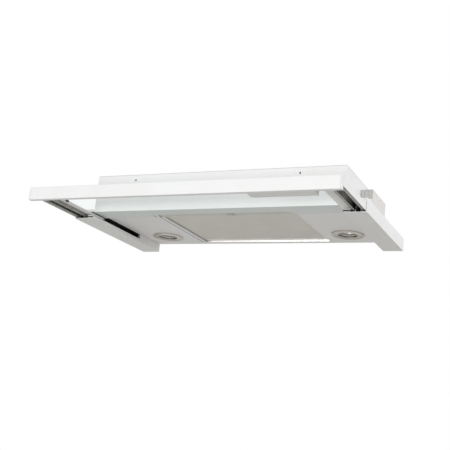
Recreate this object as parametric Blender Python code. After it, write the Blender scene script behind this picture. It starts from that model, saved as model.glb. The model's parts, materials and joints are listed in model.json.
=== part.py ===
"""Slim pull-out cooker hood for the underside of a wall cabinet.

A flat painted steel casing sits inside the cabinet.  Two rail boxes under the
cabinet's side panels carry a drawer: a front bar, two channel-shaped sides on
ball slides and a glass visor.  The drawer is modelled pulled out.

Axes: +X to the right seen from the front, +Y towards the wall, +Z up.
Origin: front face of the casing, on its centre line, level with the
underside of the cabinet.  Sizes below are millimetres; MM turns them into
metres when a mesh is made.
"""

import math

import bmesh
import bpy
from mathutils import Matrix, Vector

MM = 0.001

# ---------------------------------------------------------------- driving sizes
SHEET = 1.0            # thickness of the folded steel sheet
GAP = 0.3              # air left between pieces that touch
OVER = 5.0             # how far a cutting tool reaches past what it cuts
CASE_HALF_W = 258.0    # half the width of the casing
CASE_DEPTH = 274.5     # front face to back face of the casing
CASE_TOP = 63.2        # top of the casing above the cabinet's underside
SOFFIT = -7.5          # visible underside of the casing
HALF_W = 299.0         # half the overall width, over the rail boxes and the bar
RAIL_H = 25.5          # height of a rail box below the cabinet
RAIL_FRONT = -3.5      # the rail boxes stand this far in front of the casing
SEAT_X = 281.3         # the cabinet's side panels stand on the rail boxes outside this
SEAT_STEP = 0.3        # the rest of a rail box's top lies this much lower

FIXING_HOLE_X = 171.0  # screw holes in the front wall
FIXING_HOLE_Z = 51.5
FIXING_HOLE_R = 1.75
WIRE_Y = 140.0         # hole for the wires, from the terminal box into the casing
WIRE_Z = 20.0
WIRE_R = 5.0

BRACKET_Y = (62.0, 91.5)
BRACKET_TOP = 27.0
BRACKET_HOLE = (270.0, 15.0, 2.4)

BAR_FRONT = -154.5     # front bar, drawer pulled out
BAR_BACK = -144.2
BAR_BOTTOM = -32.3
BAR_TOP = -8.4
BAR_WALL = 1.2
CAP_T = 1.4            # thickness of the bar's end caps
PLUG_L = 8.0           # how far a cap reaches into the bar
BAR_SCREW_X = 267.3
BAR_SCREW_Z = -13.4

DRAWER_FRONT = BAR_BACK + GAP
SIDE_BACK = 33.0       # rear end of the drawer's side channels
SIDE_OUT = 297.4       # outer face of a side channel
SIDE_IN = 270.5        # its inner wall
FLANGE_IN = 254.0      # inner edge of the flange that carries the glass
SIDE_BOTTOM = -23.0
SIDE_TOP = -10.0
FLANGE_Z = -17.9
FLANGE_STEP_X = 263.0  # the flange steps up outside the glass
FLANGE_STEP = 0.8
TAB_IN = 264.5         # inner edge of the side channel's front tab
BUFFER_Y = (-100.8, -94.8)   # rubber buffer hooked over the left flange
BUFFER_DROP = 2.5

GLASS_HALF_W = 262.5
GLASS_FRONT = DRAWER_FRONT + SHEET + GAP
GLASS_BACK = 29.5
GLASS_BOTTOM = FLANGE_Z + SHEET + GAP
GLASS_T = 4.0

SLOT_LOW = -18.7       # slot in a rail box's inner wall, for flange and glass
SLOT_HIGH = -8.6
SLOT_END = 184.5
MOUTH_IN = 269.8       # opening in a rail box's front, for the drawer side
MOUTH_LOW = -24.5

SLIDE_LENGTH = 267.0   # moving member of a ball slide
CAGE_FRONT = 4.0
CAGE_LENGTH = 120.0

CONTROL_X = (132.0, 249.5)
CONTROL_BACK = -114.5
CONTROL_BOTTOM = -29.5
CONTROL_TOP = -14.8
KNOB_Y = -127.0
KNOB_HALF = 5.0
SPEED_X = 160.0
SPEED_TRAVEL = 24.0
LIGHT_X = 218.0
LIGHT_TRAVEL = 10.0

WELL_X = (-132.0, 150.0)    # inside of the well that holds the grease filter
WELL_Y = (33.0, 261.5)
WELL_STRIP = -140.6    # left edge of the well's strip, flush with the panel
WELL_STRIP_GAP = 1.4   # groove between the strip and the panel
WELL_FOOT = 8.0        # width of the well's foot on top of the panel
FILTER_RECESS = 3.5
FILTER_T = 8.0
FILTER_EDGE = 6.0      # width of the filter's frame
MESH_T = 2.0           # the pad of expanded metal, pressed flat
WELL_WALL = 1.2
WELL_TOP = 13.0
HINGE_Y = 257.9        # pins that the filter swings down on
HINGE_Z = -1.5
HINGE_PIN_R = 1.4
HINGE_PIN_L = 2.4      # how far a pin stands out of the filter's side
HINGE_CLEAR = 1.6      # behind the filter, for its rear edge as it swings
LATCH_X = 20.0

LAMP_X = 202.5
LAMP_Y = 209.5
LAMP_HOLE_R = 28.0

FAN_X = -75.0          # axis of the impeller
FAN_Y = 128.0
FAN_R = 70.0
FAN_BLADES = 24
SCROLL_FLOOR = 16.0
SCROLL_START_R = 75.0
SCROLL_END_R = 100.0

OUTLET_X = 75.0        # axis of the outlet collar
OUTLET_Y = 190.0
OUTLET_R = 60.0        # fits inside a 120 mm duct
OUTLET_TOP = 98.5
FLAP_PIN_Z = 74.5
FLAP_R = 56.0

BOX_Y = (93.5, 186.5)  # terminal box on the right side wall
BOX_OUT = 281.0
BOX_TOP = 46.5
CABLE_X = 269.3        # axis of the cable gland
CABLE_Z = 24.0

SCREW_Y = (17.0, 155.0)
SCREW_X = 290.0
SCREW_HOLE_R = 2.2

SWITCH_X = 266.5       # axis of the microswitch's plunger
SWITCH_Z = -17.4
SWITCH_Y = (175.0, 187.0)


# ---------------------------------------------------------------- materials
def make_material(name, colour, roughness, metallic=0.0, alpha=1.0):
    """Principled material with one colour, given as linear RGB."""
    material = bpy.data.materials.new(name)
    material.use_nodes = True
    shader = material.node_tree.nodes["Principled BSDF"]
    shader.inputs["Base Color"].default_value = (*colour, 1.0)
    shader.inputs["Roughness"].default_value = roughness
    shader.inputs["Metallic"].default_value = metallic
    shader.inputs["Alpha"].default_value = alpha
    return material


FINISHES = {
    "white_paint": ((0.86, 0.87, 0.87), 0.35, 0.0, 1.0),
    "zinc_steel": ((0.55, 0.55, 0.54), 0.35, 1.0, 1.0),
    "filter_aluminium": ((0.50, 0.48, 0.45), 0.45, 1.0, 1.0),
    "lamp_metal": ((0.45, 0.41, 0.37), 0.30, 1.0, 1.0),
    "reflector": ((0.80, 0.80, 0.78), 0.15, 1.0, 1.0),
    "glass": ((0.80, 0.90, 0.87), 0.05, 0.0, 0.35),
    "white_plastic": ((0.80, 0.78, 0.75), 0.45, 0.0, 1.0),
    "bar_plastic": ((0.82, 0.82, 0.80), 0.40, 0.0, 1.0),
    "grey_plastic": ((0.55, 0.55, 0.52), 0.50, 0.0, 1.0),
    "dark_plastic": ((0.05, 0.05, 0.05), 0.50, 0.0, 1.0),
    "board": ((0.04, 0.16, 0.08), 0.50, 0.0, 1.0),
}


# ---------------------------------------------------------------- mesh helpers
def finish_object(name, bm, finish, sharp_degrees=30.0):
    """Turn a bmesh drawn in millimetres into a named object in metres."""
    bmesh.ops.recalc_face_normals(bm, faces=bm.faces)
    bmesh.ops.scale(bm, vec=(MM, MM, MM), verts=bm.verts)
    mesh = bpy.data.meshes.new(name)
    bm.to_mesh(mesh)
    bm.free()
    mesh.shade_smooth()
    mesh.set_sharp_from_angle(angle=math.radians(sharp_degrees))
    obj = bpy.data.objects.new(name, mesh)
    bpy.context.scene.collection.objects.link(obj)
    if finish is not None:
        mesh.materials.append(make_material(name, *FINISHES[finish]))
    return obj


def add_box(bm, xs, ys, zs):
    """Add an axis-aligned box, given as three (low, high) pairs."""
    size = (xs[1] - xs[0], ys[1] - ys[0], zs[1] - zs[0])
    centre = ((xs[0] + xs[1]) / 2, (ys[0] + ys[1]) / 2, (zs[0] + zs[1]) / 2)
    place = Matrix.Translation(centre) @ Matrix.Diagonal((*size, 1.0))
    bmesh.ops.create_cube(bm, size=1.0, matrix=place)


def box(name, finish, xs, ys, zs):
    bm = bmesh.new()
    add_box(bm, xs, ys, zs)
    return finish_object(name, bm, finish)


# Maps (first, second, along) of a drawn outline to X, Y, Z for each direction.
OUTLINE_AXES = {
    "X": lambda first, second, along: (along, first, second),
    "Y": lambda first, second, along: (first, along, second),
    "Z": lambda first, second, along: (first, second, along),
}


def add_prism(bm, outline, along, direction):
    """Extrude a closed outline between two places along X, Y or Z."""
    place = OUTLINE_AXES[direction]
    rings = [[bm.verts.new(place(a, b, height)) for a, b in outline] for height in along]
    bm.faces.new(rings[0])
    bm.faces.new(rings[1])
    for i in range(len(outline)):
        j = (i + 1) % len(outline)
        bm.faces.new((rings[0][i], rings[0][j], rings[1][j], rings[1][i]))


def prism(name, finish, outline, along, direction):
    bm = bmesh.new()
    add_prism(bm, outline, along, direction)
    return finish_object(name, bm, finish)


def add_lathe(bm, profile, centre, segments, direction="Z"):
    """Turn a closed (radius, height) profile about an axis through centre."""
    def place(radius, height, angle):
        across = radius * math.cos(angle)
        up = radius * math.sin(angle)
        offset = OUTLINE_AXES[direction](across, up, height)
        return [a + b for a, b in zip(centre, offset)]

    on_axis = [radius < 1e-6 for radius, _ in profile]
    columns = []
    for s in range(segments):
        angle = 2 * math.pi * s / segments
        column = []
        for k, (radius, height) in enumerate(profile):
            if on_axis[k] and s > 0:
                column.append(columns[0][k])
            else:
                column.append(bm.verts.new(place(radius, height, angle)))
        columns.append(column)
    for s in range(segments):
        here = columns[s]
        there = columns[(s + 1) % segments]
        for k in range(len(profile)):
            n = (k + 1) % len(profile)
            corners = []
            for vert in (here[k], here[n], there[n], there[k]):
                if vert not in corners:
                    corners.append(vert)
            if len(corners) >= 3:
                bm.faces.new(corners)


def lathe(name, finish, profile, centre, segments=40, direction="Z", sharp_degrees=30.0):
    bm = bmesh.new()
    add_lathe(bm, profile, centre, segments, direction)
    return finish_object(name, bm, finish, sharp_degrees)


def rod_profile(radius, low, high, chamfer=0.0):
    """Lathe profile of a plain rod with optional chamfered ends."""
    if chamfer == 0.0:
        return [(0.0, low), (radius, low), (radius, high), (0.0, high)]
    inner = radius - chamfer
    return [(0.0, low), (inner, low), (radius, low + chamfer),
            (radius, high - chamfer), (inner, high), (0.0, high)]


def arc(centre, radius, start_degrees, end_degrees, steps):
    """Points of an arc, both ends included."""
    points = []
    for i in range(steps + 1):
        angle = math.radians(start_degrees + (end_degrees - start_degrees) * i / steps)
        points.append((centre[0] + radius * math.cos(angle),
                       centre[1] + radius * math.sin(angle)))
    return points


def rounded_rectangle(first, second, radius, steps=3):
    """Outline of a rectangle with round corners."""
    corners = ((first[1], second[1], 0), (first[0], second[1], 90),
               (first[0], second[0], 180), (first[1], second[0], 270))
    points = []
    for a, b, start in corners:
        inward_a = radius if start in (90, 180) else -radius
        inward_b = radius if start in (180, 270) else -radius
        points += arc((a + inward_a, b + inward_b), radius, start, start + 90, steps)
    return points


def combine(target, other, operation):
    """Boolean modifier on target; the other object becomes a hidden guide."""
    other.name = target.name + "_" + operation.lower() + "_tool"
    other.hide_render = True
    other.display_type = "WIRE"
    modifier = target.modifiers.new(operation.title(), "BOOLEAN")
    modifier.operation = operation
    modifier.solver = "EXACT"
    modifier.object = other


def cut(target, tool):
    combine(target, tool, "DIFFERENCE")


def join(target, tool):
    combine(target, tool, "UNION")


def rod_tool(centre, radius, along, direction, segments=16):
    return lathe("tool", None, rod_profile(radius, *along), centre, segments, direction)


def mirrored(points, side):
    """Outline for the right side (side 1), or its mirror image (side -1)."""
    if side > 0:
        return list(points)
    return [(-a, b) for a, b in reversed(points)]


def span(low, high, side):
    """X range on the right (side 1) or the same range on the left (side -1)."""
    return (low, high) if side > 0 else (-high, -low)


SIDES = (("left", -1), ("right", 1))


# ---------------------------------------------------------------- casing
def casing():
    inner = CASE_HALF_W - SHEET
    shell_top = CASE_TOP - SHEET - GAP
    body = box("casing_body", "white_paint", (-CASE_HALF_W, CASE_HALF_W),
               (0, CASE_DEPTH), (SOFFIT, shell_top))
    cut(body, box("tool", None, (-inner, inner), (SHEET, CASE_DEPTH - SHEET),
                  (SOFFIT - OVER, shell_top + OVER)))
    for x in (-FIXING_HOLE_X, FIXING_HOLE_X):
        cut(body, rod_tool((x, 0, FIXING_HOLE_Z), FIXING_HOLE_R, (-OVER, OVER), "Y"))
    cut(body, rod_tool((CASE_HALF_W, WIRE_Y, WIRE_Z), WIRE_R, (-OVER, OVER), "X"))

    top = box("top_panel", "white_paint", (-CASE_HALF_W, CASE_HALF_W),
              (0, CASE_DEPTH), (CASE_TOP - SHEET, CASE_TOP))
    cut(top, rod_tool((OUTLET_X, OUTLET_Y, CASE_TOP), OUTLET_R - 3, (-OVER, OVER), "Z", 48))

    edge = SHEET + GAP
    floor = box("bottom_panel", "white_paint", (-CASE_HALF_W + edge, CASE_HALF_W - edge),
                (edge, CASE_DEPTH - edge), (SOFFIT, SOFFIT + SHEET))
    around = WELL_WALL + GAP
    cut(floor, box("tool", None, (WELL_STRIP - WELL_STRIP_GAP, WELL_X[1] + around),
                   (WELL_Y[0] - around, WELL_Y[1] + around), (SOFFIT - OVER, SOFFIT + OVER)))
    for x in (-LAMP_X, LAMP_X):
        cut(floor, rod_tool((x, LAMP_Y, SOFFIT), LAMP_HOLE_R, (-OVER, OVER), "Z", 32))


def filter_well():
    """Upright frame around the filter, with a foot on top of the panel."""
    left, right = (WELL_X[0] - WELL_WALL, WELL_X[1] + WELL_WALL)
    front, back = (WELL_Y[0] - WELL_WALL, WELL_Y[1] + WELL_WALL)
    foot_low = SOFFIT + SHEET + GAP
    foot_high = foot_low + SHEET
    well = box("filter_well", "white_paint", (left, right), (front, back), (SOFFIT, WELL_TOP))
    join(well, box("tool", None, (WELL_STRIP - WELL_FOOT, right + WELL_FOOT),
                   (front - WELL_FOOT, back + WELL_FOOT), (foot_low, foot_high)))
    join(well, box("tool", None, (WELL_STRIP, left + WELL_WALL / 2), (front, back),
                   (SOFFIT, foot_high - SHEET / 2)))
    cut(well, box("tool", None, WELL_X, WELL_Y, (SOFFIT - OVER, WELL_TOP + OVER)))
    for x in WELL_X:
        cut(well, rod_tool((x, HINGE_Y, HINGE_Z), HINGE_PIN_R + 0.35, (-OVER, OVER), "X"))


def rail_boxes():
    """Closed channels with a mouth in front and a slot in the inner wall."""
    low = CASE_HALF_W + GAP
    front_inner = RAIL_FRONT + SHEET
    for word, side in SIDES:
        rail = box("rail_box_" + word, "white_paint", span(low, HALF_W, side),
                   (RAIL_FRONT, CASE_DEPTH), (-RAIL_H, 0))
        cut(rail, box("tool", None, span(low + SHEET, HALF_W - SHEET, side),
                      (front_inner, CASE_DEPTH - SHEET), (-RAIL_H + SHEET, -SHEET)))
        cut(rail, box("tool", None, span(low - OVER, low + OVER, side),
                      (RAIL_FRONT - OVER, SLOT_END), (SLOT_LOW, SLOT_HIGH)))
        cut(rail, box("tool", None, span(low + 2, MOUTH_IN + 1, side),
                      (RAIL_FRONT - OVER, front_inner + 1), (SLOT_LOW, SLOT_HIGH)))
        cut(rail, box("tool", None, span(MOUTH_IN, HALF_W - SHEET, side),
                      (RAIL_FRONT - OVER, front_inner + 1), (MOUTH_LOW, SLOT_HIGH)))
        cut(rail, box("tool", None, span(low - OVER, SEAT_X, side),
                      (RAIL_FRONT - OVER, CASE_DEPTH + OVER), (-SEAT_STEP, 5)))
        for y in SCREW_Y:
            cut(rail, rod_tool((side * SCREW_X, y, -RAIL_H), SCREW_HOLE_R, (-OVER, OVER), "Z"))
        box("slot_buffer_" + word, "grey_plastic", span(low - 0.5, low + SHEET, side),
            (SLOT_END - 5.5, SLOT_END - GAP), (SLOT_LOW + GAP, SLOT_HIGH - GAP))


def side_brackets():
    """Folded brackets on the casing's side walls for the cabinet's sides."""
    inner = CASE_HALF_W + GAP
    front, back = BRACKET_Y
    hole_x, hole_z, hole_r = BRACKET_HOLE
    for word, side in SIDES:
        bracket = box("side_bracket_" + word, "white_paint", span(inner, BOX_OUT, side),
                      BRACKET_Y, (GAP, BRACKET_TOP))
        cut(bracket, box("tool", None, span(inner + SHEET, BOX_OUT + OVER, side),
                         (front - OVER, back - SHEET), (GAP + SHEET, BRACKET_TOP + OVER)))
        cut(bracket, rod_tool((side * hole_x, back, hole_z), hole_r, (-OVER, OVER), "Y"))


# ---------------------------------------------------------------- ball slides
def fixed_slide_section():
    return [(274, -24.2), (279.2, -24.2), (279.2, -15.2), (287.8, -15.2), (287.8, -24.2),
            (293, -24.2), (293, -23.2), (289, -23.2), (289, -14), (278, -14),
            (278, -23.2), (274, -23.2)]


def moving_slide_section():
    return [(273, -21.5), (277.5, -21.5), (277.5, -20.5), (274.2, -20.5), (274.2, -12.5),
            (292.8, -12.5), (292.8, -20.5), (289.5, -20.5), (289.5, -21.5), (294, -21.5),
            (294, -11.3), (273, -11.3)]


def cage_section():
    return [(275, -19.5), (277.2, -19.5), (277.2, -13.7), (289.8, -13.7), (289.8, -19.5),
            (292, -19.5), (292, -12.8), (275, -12.8)]


def slides():
    slide_front = DRAWER_FRONT + SHEET + GAP
    fixed_front = RAIL_FRONT + SHEET + GAP
    for word, side in SIDES:
        fixed = prism("slide_outer_" + word, "zinc_steel",
                      mirrored(fixed_slide_section(), side), (fixed_front, 268), "Y")
        for y in SCREW_Y:
            cut(fixed, rod_tool((side * SCREW_X, y, -RAIL_H), SCREW_HOLE_R, (-OVER, OVER), "Z"))
        prism("slide_inner_" + word, "zinc_steel", mirrored(moving_slide_section(), side),
              (slide_front, slide_front + SLIDE_LENGTH), "Y")
        prism("ball_cage_" + word, "dark_plastic", mirrored(cage_section(), side),
              (CAGE_FRONT, CAGE_FRONT + CAGE_LENGTH), "Y")


def rail_screws():
    head_top = -RAIL_H - GAP
    profile = [(0, head_top - 1.3), (2.6, head_top - 1.2), (3.4, head_top - 0.6),
               (3.4, head_top), (1.9, head_top), (1.9, -21.6), (0, -21.6)]
    for word, side in SIDES:
        for place, y in zip(("front", "rear"), SCREW_Y):
            lathe("rail_screw_" + place + "_" + word, "white_paint", profile,
                  (side * SCREW_X, y, 0), 16)


# ---------------------------------------------------------------- drawer
def front_bar():
    tube_end = HALF_W - CAP_T - GAP
    outline = rounded_rectangle((BAR_FRONT, BAR_BACK), (BAR_BOTTOM, BAR_TOP), 1.5)
    hollow = rounded_rectangle((BAR_FRONT + BAR_WALL, BAR_BACK - BAR_WALL),
                               (BAR_BOTTOM + BAR_WALL, BAR_TOP - BAR_WALL), 0.8, 2)
    plug = rounded_rectangle((BAR_FRONT + BAR_WALL + GAP, BAR_BACK - BAR_WALL - GAP),
                             (BAR_BOTTOM + BAR_WALL + GAP, BAR_TOP - BAR_WALL - GAP), 0.8, 2)
    bar = prism("front_bar", "white_paint", outline, (-tube_end, tube_end), "X")
    cut(bar, prism("tool", None, hollow, (-tube_end - OVER, tube_end + OVER), "X"))
    for word, side in SIDES:
        cut(bar, rod_tool((side * BAR_SCREW_X, BAR_BACK, BAR_SCREW_Z), 1.8, (-OVER, OVER), "Y"))
        cap = prism("bar_cap_" + word, "bar_plastic", outline,
                    span(tube_end + GAP, HALF_W, side), "X")
        join(cap, prism("tool", None, plug, span(tube_end - PLUG_L, tube_end + 1, side), "X"))


def drawer_sides():
    raised = FLANGE_Z + FLANGE_STEP
    step_end = FLANGE_STEP_X + SHEET
    section = [(SIDE_OUT, SIDE_BOTTOM), (SIDE_OUT, SIDE_TOP), (SIDE_IN, SIDE_TOP),
               (SIDE_IN, raised + SHEET), (step_end, raised + SHEET),
               (FLANGE_STEP_X, FLANGE_Z + SHEET), (FLANGE_IN, FLANGE_Z + SHEET),
               (FLANGE_IN, FLANGE_Z), (FLANGE_STEP_X, FLANGE_Z), (step_end, raised),
               (SIDE_IN + SHEET, raised), (SIDE_IN + SHEET, SIDE_TOP - SHEET),
               (SIDE_OUT - SHEET, SIDE_TOP - SHEET), (SIDE_OUT - SHEET, SIDE_BOTTOM)]
    inset = 0.5
    tab_low = raised + inset
    tab = [(TAB_IN, tab_low), (SIDE_IN + inset, tab_low), (SIDE_IN + inset, SIDE_BOTTOM + inset),
           (SIDE_OUT - inset, SIDE_BOTTOM + inset), (SIDE_OUT - inset, SIDE_TOP - inset),
           (TAB_IN, SIDE_TOP - inset)]
    head_at = DRAWER_FRONT + SHEET + GAP
    screw = [(0, -7), (1.5, -7), (1.5, 0), (2.6, 0), (2.6, 1.5), (1.6, 2.1), (0, 2.1)]
    for word, side in SIDES:
        channel = prism("drawer_side_" + word, "white_paint", mirrored(section, side),
                        (DRAWER_FRONT, SIDE_BACK), "Y")
        join(channel, prism("tool", None, mirrored(tab, side),
                            (DRAWER_FRONT, DRAWER_FRONT + SHEET), "Y"))
        cut(channel, rod_tool((side * BAR_SCREW_X, DRAWER_FRONT, BAR_SCREW_Z), 1.8,
                              (-OVER, OVER), "Y"))
        lathe("bar_screw_" + word, "zinc_steel", screw,
              (side * BAR_SCREW_X, head_at, BAR_SCREW_Z), 16, "Y")


def flange_buffer():
    """Rubber hook over the left flange's inner edge, under the glass."""
    web = FLANGE_IN - GAP
    top = FLANGE_Z + SHEET
    low = FLANGE_Z - BUFFER_DROP
    plate_top = FLANGE_Z - GAP
    inner = web - 1.5
    outer = web + 2.8
    bevel = 0.8
    section = [(inner, low + bevel), (inner + bevel, low), (outer - bevel, low),
               (outer, low + bevel), (outer, plate_top), (web, plate_top),
               (web, top), (inner, top)]
    prism("flange_buffer", "dark_plastic", mirrored(section, -1), BUFFER_Y, "Y")


def glass_panel():
    """Float glass visor, cut out around the control unit."""
    notch_x = (CONTROL_X[0] - 1.5, CONTROL_X[1] + 1.5)
    notch_y = CONTROL_BACK + 1.5
    outline = [(-GLASS_HALF_W, GLASS_FRONT), (notch_x[0], GLASS_FRONT),
               (notch_x[0], notch_y), (notch_x[1], notch_y), (notch_x[1], GLASS_FRONT),
               (GLASS_HALF_W, GLASS_FRONT), (GLASS_HALF_W, GLASS_BACK),
               (-GLASS_HALF_W, GLASS_BACK)]
    prism("glass_panel", "glass", outline, (GLASS_BOTTOM, GLASS_BOTTOM + GLASS_T), "Z")


def knob(name, x):
    """Slider knob: ribbed cap above the cover, stem through its slot."""
    cap_low = CONTROL_TOP + GAP + 1.5 + GAP
    bm = bmesh.new()
    outline = [(-7, 0), (7, 0), (6, 3.2), (2.4, 3.6), (1.2, 4.4), (-1.2, 4.4),
               (-2.4, 3.6), (-6, 3.2)]
    add_prism(bm, [(x + a, cap_low + b) for a, b in outline],
              (KNOB_Y - KNOB_HALF, KNOB_Y + KNOB_HALF), "Y")
    cap = finish_object(name, bm, "dark_plastic")
    join(cap, box("tool", None, (x - 2, x + 2), (KNOB_Y - 1.8, KNOB_Y + 1.8),
                  (-19.5, cap_low + 1)))


def control_unit():
    wall = 1.5
    left, right = CONTROL_X
    tray = box("control_housing", "bar_plastic", (left, right),
               (DRAWER_FRONT, CONTROL_BACK), (CONTROL_BOTTOM, CONTROL_TOP))
    cut(tray, box("tool", None, (left + wall, right - wall),
                  (DRAWER_FRONT + wall, CONTROL_BACK - wall),
                  (CONTROL_BOTTOM + wall, CONTROL_TOP + OVER)))
    cover_low = CONTROL_TOP + GAP
    cover = box("control_cover", "bar_plastic", (left, right),
                (DRAWER_FRONT, CONTROL_BACK), (cover_low, cover_low + wall))
    for x, travel in ((SPEED_X, SPEED_TRAVEL), (LIGHT_X, LIGHT_TRAVEL)):
        cut(cover, box("tool", None, (x - 2.6, x + travel + 2.6),
                       (KNOB_Y - 2.4, KNOB_Y + 2.4), (cover_low - 3, cover_low + 4)))
    box("control_board", "board", (left + wall + 1, right - wall - 1),
        (DRAWER_FRONT + wall + 1, CONTROL_BACK - wall - 1), (-24, -22.4))
    knob("speed_slider", SPEED_X)
    knob("light_slider", LIGHT_X)


# ---------------------------------------------------------------- grease filter
def grease_filter():
    clear = 0.6
    left, right = (WELL_X[0] + clear, WELL_X[1] - clear)
    front = WELL_Y[0] + clear
    back = WELL_Y[1] - HINGE_CLEAR
    low = SOFFIT + FILTER_RECESS
    high = low + FILTER_T
    frame = box("filter_frame", "filter_aluminium", (left, right), (front, back), (low, high))
    mesh_x = (left + FILTER_EDGE, right - FILTER_EDGE)
    mesh_y = (front + FILTER_EDGE, back - FILTER_EDGE)
    cut(frame, box("tool", None, mesh_x, mesh_y, (low - OVER, high + OVER)))
    for x, outwards in ((left, -1), (right, 1)):
        pin = rod_tool((x, HINGE_Y, HINGE_Z), HINGE_PIN_R,
                       sorted((-2.0 * outwards, HINGE_PIN_L * outwards)), "X")
        join(frame, pin)
    mesh_low = low + 0.8
    box("filter_mesh", "filter_aluminium", (mesh_x[0] + GAP, mesh_x[1] - GAP),
        (mesh_y[0] + GAP, mesh_y[1] - GAP), (mesh_low, mesh_low + MESH_T))

    plate_top = low - GAP
    section = [(front - 0.3, plate_top), (front - 0.3, plate_top - 1.4),
               (front + 3, plate_top - 1.8), (front + 20, plate_top - 1.8),
               (front + 22, plate_top - 3.2), (front + 25, plate_top - 3.2),
               (front + 25, plate_top)]
    prism("filter_latch", "grey_plastic", section, (LATCH_X - 6, LATCH_X + 6), "X")


# ---------------------------------------------------------------- lamps
def lamps():
    bezel = [(33.3, SOFFIT - GAP), (33.3, -8.6), (32, -9.7), (21, -9.3), (19.6, -8.4),
             (19.6, -1), (21, -1), (21, -7.2), (23, SOFFIT - GAP)]
    reflector = [(0, 16), (10, 16), (22.5, 3.5), (22.5, -0.7), (19.8, -0.7), (19.8, 2.4),
                 (9, 14.6), (3.6, 14.6), (3.6, 6.5), (0, 6.5)]
    lens = [(0, -2.6), (15, -2.5), (19, -2), (19, -1.2), (0, -1.2)]
    for word, side in SIDES:
        centre = (side * LAMP_X, LAMP_Y, 0)
        lathe("lamp_bezel_" + word, "lamp_metal", bezel, centre, 40)
        lathe("lamp_reflector_" + word, "reflector", reflector, centre, 32)
        lathe("lamp_lens_" + word, "glass", lens, centre, 32)


# ---------------------------------------------------------------- blower
def scroll_outline(inset):
    """Spiral around the impeller that runs into a round outlet chamber."""
    points = []
    sweep = 290.0
    steps = 26
    for i in range(steps + 1):
        angle = math.radians(20.0 - sweep * i / steps)
        radius = SCROLL_START_R + (SCROLL_END_R - SCROLL_START_R) * i / steps - inset
        points.append((FAN_X + radius * math.cos(angle), FAN_Y + radius * math.sin(angle)))
    points += arc((OUTLET_X, OUTLET_Y), OUTLET_R + 2 - inset, 102, -96, 16)
    return points


def blower():
    wall = 1.5
    cover_low = CASE_TOP - SHEET - GAP - wall
    wall_top = cover_low - GAP
    fan = (FAN_X, FAN_Y, 0)
    housing = prism("blower_housing", "zinc_steel", scroll_outline(0),
                    (SCROLL_FLOOR, wall_top), "Z")
    cut(housing, prism("tool", None, scroll_outline(wall),
                       (SCROLL_FLOOR + wall, wall_top + OVER), "Z"))
    cut(housing, rod_tool((FAN_X, FAN_Y, SCROLL_FLOOR), 52.5, (-OVER, OVER), "Z", 40))

    cover = prism("blower_cover", "zinc_steel", scroll_outline(0),
                  (cover_low, cover_low + wall), "Z")
    cut(cover, rod_tool((OUTLET_X, OUTLET_Y, cover_low), OUTLET_R - 3, (-OVER, OVER), "Z", 40))

    bell = [(50.7, 19), (50.7, 15.6), (53, 13.6), (60, 13.6), (60, SCROLL_FLOOR - GAP),
            (52.2, SCROLL_FLOOR - GAP), (52.2, 19)]
    lathe("inlet_ring", "dark_plastic", bell, fan, 40)

    motor = [(0, 57), (3.3, 57), (3.3, 28), (9, 28), (10, 29), (10, 31), (29, 31),
             (32, 34), (32, wall_top), (0, wall_top)]
    lathe("motor", "dark_plastic", motor, fan, 32)
    lathe("motor_shaft", "zinc_steel", rod_profile(3.0, 18.5, 56, 0.5), fan, 16)


def impeller():
    fan = (FAN_X, FAN_Y, 0)
    cup = [(3.3, 23), (34, 23), (36, 25), (36, 53.5), (FAN_R, 53.5), (FAN_R, 55),
           (34.5, 55), (34.5, 26), (33, 24.5), (3.3, 24.5)]
    wheel = lathe("impeller", "grey_plastic", cup, fan, 40)
    ring = [(58, 19.5), (FAN_R, 19.5), (FAN_R, 21), (58, 21)]
    join(wheel, lathe("tool", None, ring, fan, 40))
    blades = bmesh.new()
    blade = [(-5.2, -0.8), (0, -0.1), (5.2, -0.8), (5.2, 0.4), (0, 1.1), (-5.2, 0.4)]
    for i in range(FAN_BLADES):
        turn = 2 * math.pi * (i + 0.5) / FAN_BLADES
        middle = Vector((64.0, 0.0))
        outline = []
        for along, across in blade:
            point = Matrix.Rotation(0.5, 2) @ Vector((along, across)) + middle
            point = Matrix.Rotation(turn, 2) @ point
            outline.append((FAN_X + point.x, FAN_Y + point.y))
        add_prism(blades, outline, (20.2, 54.2), "Z")
    join(wheel, finish_object("tool", blades, None))


def capacitor():
    bm = bmesh.new()
    add_lathe(bm, rod_profile(14, 62, 118, 1.5), (196, 0, 9), 24, "Y")
    can = finish_object("capacitor", bm, "grey_plastic")
    join(can, lathe("tool", None, rod_profile(4, 117, 128), (196, 0, 9), 12, "Y"))


# ---------------------------------------------------------------- outlet
def outlet():
    centre = (OUTLET_X, OUTLET_Y, 0)
    base = CASE_TOP + GAP
    inner = OUTLET_R - 1.8
    profile = [(inner, base), (OUTLET_R + 8, base), (OUTLET_R + 8, base + 1.6),
               (OUTLET_R, base + 1.6), (OUTLET_R, OUTLET_TOP), (inner, OUTLET_TOP),
               (inner, 72), (inner - 3.7, 72), (inner - 3.7, 70.5), (inner, 70.5)]
    collar = lathe("outlet_collar", "dark_plastic", profile, centre, 48)
    pin_at = (OUTLET_X, OUTLET_Y, FLAP_PIN_Z)
    cut(collar, rod_tool(pin_at, 1.8, (-OUTLET_R - 4, OUTLET_R + 4), "X", 16))
    lathe("flap_pin", "zinc_steel", rod_profile(1.5, -OUTLET_R + 0.5, OUTLET_R - 0.5, 0.3),
          pin_at, 16, "X")
    flap("flap_front", -1, (12, 34))
    flap("flap_rear", 1, (36, 50))


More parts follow.
